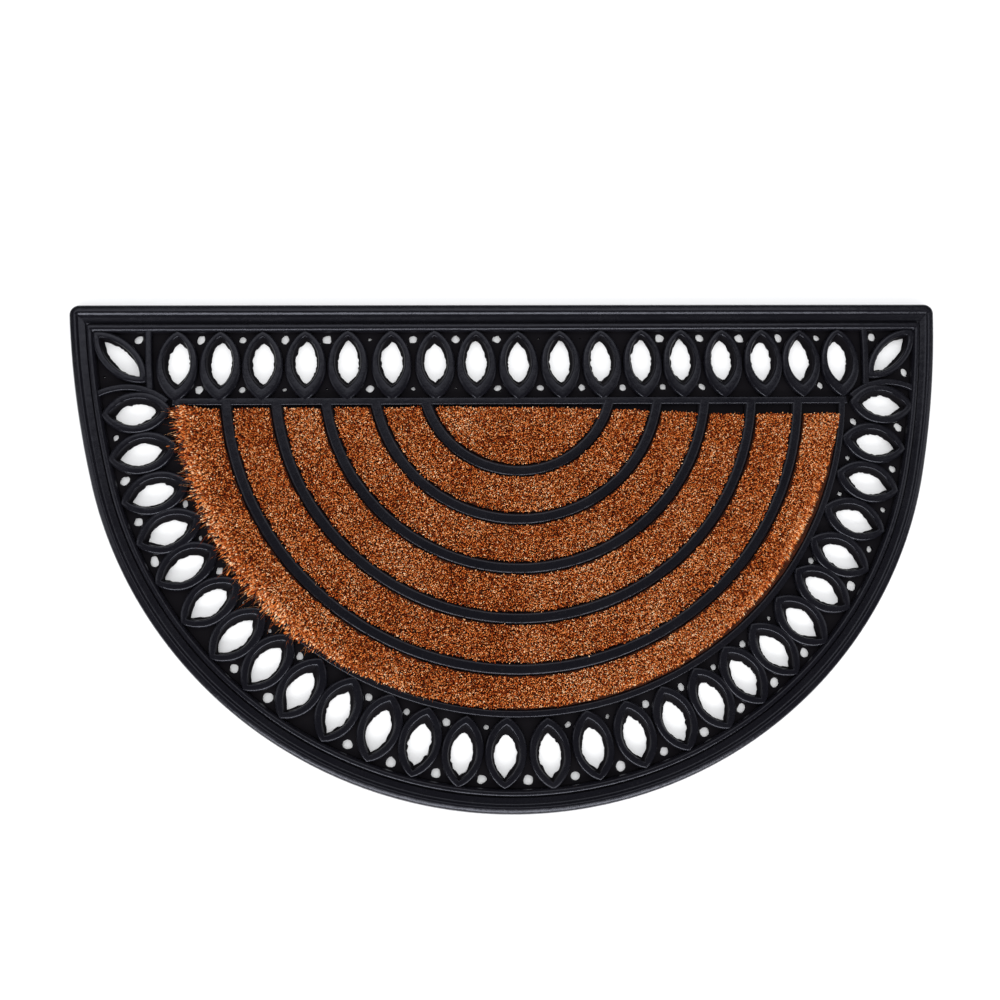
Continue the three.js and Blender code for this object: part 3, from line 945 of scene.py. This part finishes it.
def inlay_radii(index):
    """Inner and outer radius of an inlay, and the y at which its outer edge is centred."""
    inner = RIB_INNER_R + (index - 1) * RIB_PITCH + RIB_WIDTH + INLAY_GAP
    if index == 0:
        return 0.0, RIB_INNER_R - INLAY_GAP, RIB_CENTRE_Y
    if index < RIB_COUNT:
        return inner, inner + RIB_PITCH - RIB_WIDTH - 2 * INLAY_GAP, RIB_CENTRE_Y
    return inner, ARC_RAIL_R - INLAY_GAP, 0.0


coir = []
for index in range(RIB_COUNT + 1):
    node = f"coir_band_{index}" if index else "coir_centre"
    rng = np.random.default_rng(100 + index)
    tufts = pile(node + "_pile", *planted(*inlay_radii(index), rng), rng)
    inlay = joined(node + "_pile", [tufts, shaded_backing(node)])
    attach(inlay, "root")
    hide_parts(node)
    coir.append(inlay)
    print(node, "faces", len(inlay.data.polygons))

# %% [markdown]
# ## Shader sums
#
# Materials mix noise, colours and values. A small class wraps one output of a node, so that a sum in
# Python adds the Math nodes, and one method adds any other node with its settings and its inputs.

# %% The shader class
class Shade:
    """One output of a shader node, to be used in sums."""

    def __init__(self, tree, output=None):
        self.tree, self.output = tree, output

    def node(self, kind, settings=None, inputs=None, out=0):
        """Adds a node with its settings and inputs, and gives one of its outputs."""
        made = self.tree.nodes.new(kind)
        for key, value in (settings or {}).items():
            setattr(made, key, value)
        for key, value in (inputs or {}).items():
            if isinstance(value, Shade):
                self.tree.links.new(value.output, made.inputs[key])
            else:
                made.inputs[key].default_value = value
        return Shade(self.tree, made.outputs[out])

    def sum(self, operation, first, second):
        return self.node("ShaderNodeMath", {"operation": operation}, {0: first, 1: second})

    def __add__(self, other):
        return self.sum("ADD", self, other)

    def __mul__(self, other):
        return self.sum("MULTIPLY", self, other)

    __radd__, __rmul__ = __add__, __mul__

    def between(self, first, second):
        """Mixes two colours, with this value as the factor."""
        kind = {"data_type": "RGBA"}
        return self.node("ShaderNodeMix", kind, {0: self, 6: first, 7: second}, out=2)

    def ramp(self, stops):
        """Turns this value into a colour, by pairs of a place and a colour."""
        made = self.node("ShaderNodeValToRGB", inputs={0: self})
        elements = made.output.node.color_ramp.elements
        for i, (place, colour) in enumerate(stops):
            stop = elements[i] if i < 2 else elements.new(place)
            stop.position, stop.color = place, (*colour, 1)
        return made

    def noise(self, scale, detail=2.0, roughness=0.5):
        """Noise at the place that this output gives."""
        inputs = {"Vector": self, "Scale": scale, "Detail": detail, "Roughness": roughness}
        return self.node("ShaderNodeTexNoise", inputs=inputs)


def finish_of(name):
    """A new material, its Principled shader and a starting point for sums."""
    material = bpy.data.materials.new(name)
    material.use_nodes = True
    tree = material.node_tree
    return material, tree.nodes["Principled BSDF"], Shade(tree)


def feed(shader, socket, shade):
    """Links a sum to an input of a shader."""
    shade.tree.links.new(shade.output, shader.inputs[socket])


# %% [markdown]
# ## Rubber
#
# Moulded rubber is nearly black, a little blue, and satin. Its gloss varies in soft patches, its skin
# has a fine grain and a soft ripple, and a few duller spots have picked up dust. All of it comes from
# noise in the piece's own coordinates, at the size of the real grain. In the recesses shade is
# painted: a second shader, matt and nearly without reflection, takes over by the depth that each
# point carries.

# %% Rubber finish
BLACKS = (0.0035, 0.0034, 0.0055, 1), (0.0065, 0.0062, 0.0088, 1)
RECESS_SHADE_BLACKS = (0.0036, 0.0032, 0.0042, 1), (0.0082, 0.0074, 0.0088, 1)
DUST_COLOUR = (0.028, 0.026, 0.027, 1)
rubber, shader, start = finish_of("moulded_rubber")
place = start.node("ShaderNodeTexCoord", out=3)
patches, grain = place.noise(22.0, 4.0), place.noise(1500.0, 3.0)
ripple, dust = place.noise(140.0), place.noise(420.0, 5.0, 0.7)
dusty = dust.ramp([(0.56, (0, 0, 0)), (0.78, (1, 1, 1))])
bare = patches.between(*BLACKS)
relief = 0.4 * grain + 2.5 * ripple
skin = start.node("ShaderNodeBump", inputs={"Strength": 0.25, "Distance": 0.0004, "Height": relief})
feed(shader, "Base Color", (0.35 * dusty).between(bare, DUST_COLOUR))
feed(shader, "Roughness", 0.15 + 0.14 * patches + 0.08 * grain)
feed(shader, "Normal", skin)
shader.inputs["Specular Tint"].default_value = (0.84, 0.86, 1.0, 1)
satin = Shade(start.tree, shader.outputs[0])

# painted shade in the recesses: a matt black with almost no reflection, mixed in by each point's depth
recess_shade_black = patches.between(*RECESS_SHADE_BLACKS)
recess_shade_inputs = {"Base Color": recess_shade_black, "Roughness": 0.8, "Specular IOR Level": 0.02, "Normal": skin}
recess_shade = start.node("ShaderNodeBsdfPrincipled", inputs=recess_shade_inputs)
depth = start.node("ShaderNodeAttribute", {"attribute_name": "depth"}, out=2)
both = start.node("ShaderNodeMixShader", inputs={0: depth, 1: satin, 2: recess_shade})
feed(rubber.node_tree.nodes["Material Output"], "Surface", both)
moulding.data.materials.clear()
moulding.data.materials.append(rubber)
print("Rubber nodes", len(rubber.node_tree.nodes))

# %% [markdown]
# ## Coir
#
# Coir runs from dark husk to pale straw, fibre by fibre, over a warm orange brown. The tone of each
# fibre picks its place in a ramp, and soft patches shift whole tufts. Shade is painted at the roots:
# each point darkens towards a shade colour by how far down the fibre it lies, and the backing, which
# lies lowest, is nearly all painted shade. The fibre is matt with a faint sheen, so roughness is high.

# %% Coir finish
TONE_GAIN, TUFT_GAIN, PATCH_GAIN, MIXED_SHIFT = 0.95, 1.5, 0.55, -1.05
HUSK_TO_STRAW = [
    (0.0, (0.08, 0.007, 0.001)), (1.0, (0.93, 0.64, 0.40)), (0.25, (0.29, 0.036, 0.003)),
    (0.5, (0.60, 0.135, 0.018)), (0.75, (0.80, 0.31, 0.095)),
]
# painted shade colour for the roots and the backing
PAINTED_ROOT_SHADE = (0.02, 0.006, 0.002, 1)
fibre, shader, start = finish_of("coir_fibre")
tone = start.node("ShaderNodeAttribute", {"attribute_name": "tone"}, out=2)
rise = start.node("ShaderNodeAttribute", {"attribute_name": "rise"}, out=2)
place = start.node("ShaderNodeTexCoord", out=3)
tufts, patch = place.noise(420.0, 3.0), place.noise(26.0)
mixed = tone * TONE_GAIN + TUFT_GAIN * tufts + PATCH_GAIN * patch + MIXED_SHIFT
# painted root shade: each point mixes from the shade colour to its tone by its rise
feed(shader, "Base Color", (0.1 + 0.9 * rise).between(PAINTED_ROOT_SHADE, mixed.ramp(HUSK_TO_STRAW)))
feed(shader, "Roughness", 0.62 + 0.25 * tufts)
shader.inputs["Specular IOR Level"].default_value = 0.1
for inlay in coir:
    inlay.data.materials.clear()
    inlay.data.materials.append(fibre)
print("Coir nodes", len(fibre.node_tree.nodes))

# %% [markdown]
# ## Floor, light and camera
#
# The photograph shows the mat from above on a white ground. A large plane is enough for it. It lies
# a hair below the mat, so that it shares no plane with the mat's underside.

# %% Floor
FLOOR_SIZE, FLOOR_Z = 16, -0.0002
bpy.ops.object.select_all(action="DESELECT")
bpy.ops.mesh.primitive_plane_add(size=FLOOR_SIZE, location=(0, 0, FLOOR_Z))
floor = added("floor")
ground, shader, start = finish_of("pale_floor")
place = start.node("ShaderNodeTexCoord", out=3)
feed(shader, "Base Color", place.noise(3.0).between((0.86, 0.86, 0.86, 1), (0.9, 0.9, 0.9, 1)))
shader.inputs["Roughness"].default_value = 0.8
floor.data.materials.append(ground)
print("Floor width in m", FLOOR_SIZE)

# %% [markdown]
# The light on the real mat is even, with thin lines along the ridges. Pale surroundings and a light
# overhead give the even part, but reflections don't show them, so that the rubber stays black. A
# long light in front draws the thin lines on the edges that face it, one behind the mat gives the
# straight rim's flats their sheen, and weaker ones at the sides keep the shadows open.

# %% Lights
LIT_SPOT = Vector((0, 0.2, 0))
SKY_COLOUR, SKY_STRENGTH = (0.97, 0.98, 1.0, 1), 0.95


def soft_light(name, place, size, power):
    """A rectangular light that faces the mat."""
    light = bpy.data.lights.new(name, "AREA")
    light.shape, light.size, light.size_y, light.energy = "RECTANGLE", *size, power
    lamp = bpy.data.objects.new(name, light)
    bpy.context.scene.collection.objects.link(lamp)
    lamp.location = place
    lamp.rotation_euler = (LIT_SPOT - Vector(place)).to_track_quat("-Z", "Y").to_euler()
    return lamp


soft_light("front_light", (-0.1, -1.5, 0.9), (3.0, 0.4), 31)
soft_light("left_light", (-1.7, 0.1, 0.9), (0.6, 1.6), 2.5)
soft_light("right_light", (1.7, 0.2, 0.9), (0.6, 1.6), 2)
soft_light("back_light", (-0.1, 1.35, 1.7), (3.0, 1.2), 11.5)
soft_light("overhead_light", (0, 0, 1.9), (1.8, 1.8), 4).visible_glossy = False

world = bpy.data.worlds.new("studio")
bpy.context.scene.world = world
world.use_nodes = True
backdrop = world.node_tree.nodes["Background"]
backdrop.inputs["Color"].default_value = SKY_COLOUR
backdrop.inputs["Strength"].default_value = SKY_STRENGTH
world.cycles_visibility.glossy = False
bpy.context.scene.view_settings.view_transform = "Standard"

# %% [markdown]
# The camera's place and turn were worked out from the photograph: the outline, the openings and the
# ribs were fitted with one camera. It hangs 63 cm above the floor, almost straight over the round
# edge, and looks about ten degrees towards the straight one.

# %% Camera
CAMERA_PLACE = (-0.0562, -0.0623, 0.6324)
CAMERA_LENS, CAMERA_SENSOR = 29.52, 36
right = Vector((0.9979, -0.0255, 0.0595)).normalized()
back = -Vector((0.0627, 0.1561, -0.9857)).normalized()
up = back.cross(right).normalized()
camera = bpy.data.objects.new("camera", bpy.data.cameras.new("camera"))
bpy.context.scene.collection.objects.link(camera)
turned = Matrix((up.cross(back), up, back)).transposed().to_4x4()
camera.matrix_world = Matrix.Translation(CAMERA_PLACE) @ turned
camera.data.lens, camera.data.sensor_width = CAMERA_LENS, CAMERA_SENSOR
bpy.context.scene.camera = camera
print("Camera height in mm", round(camera.location.z / MM))
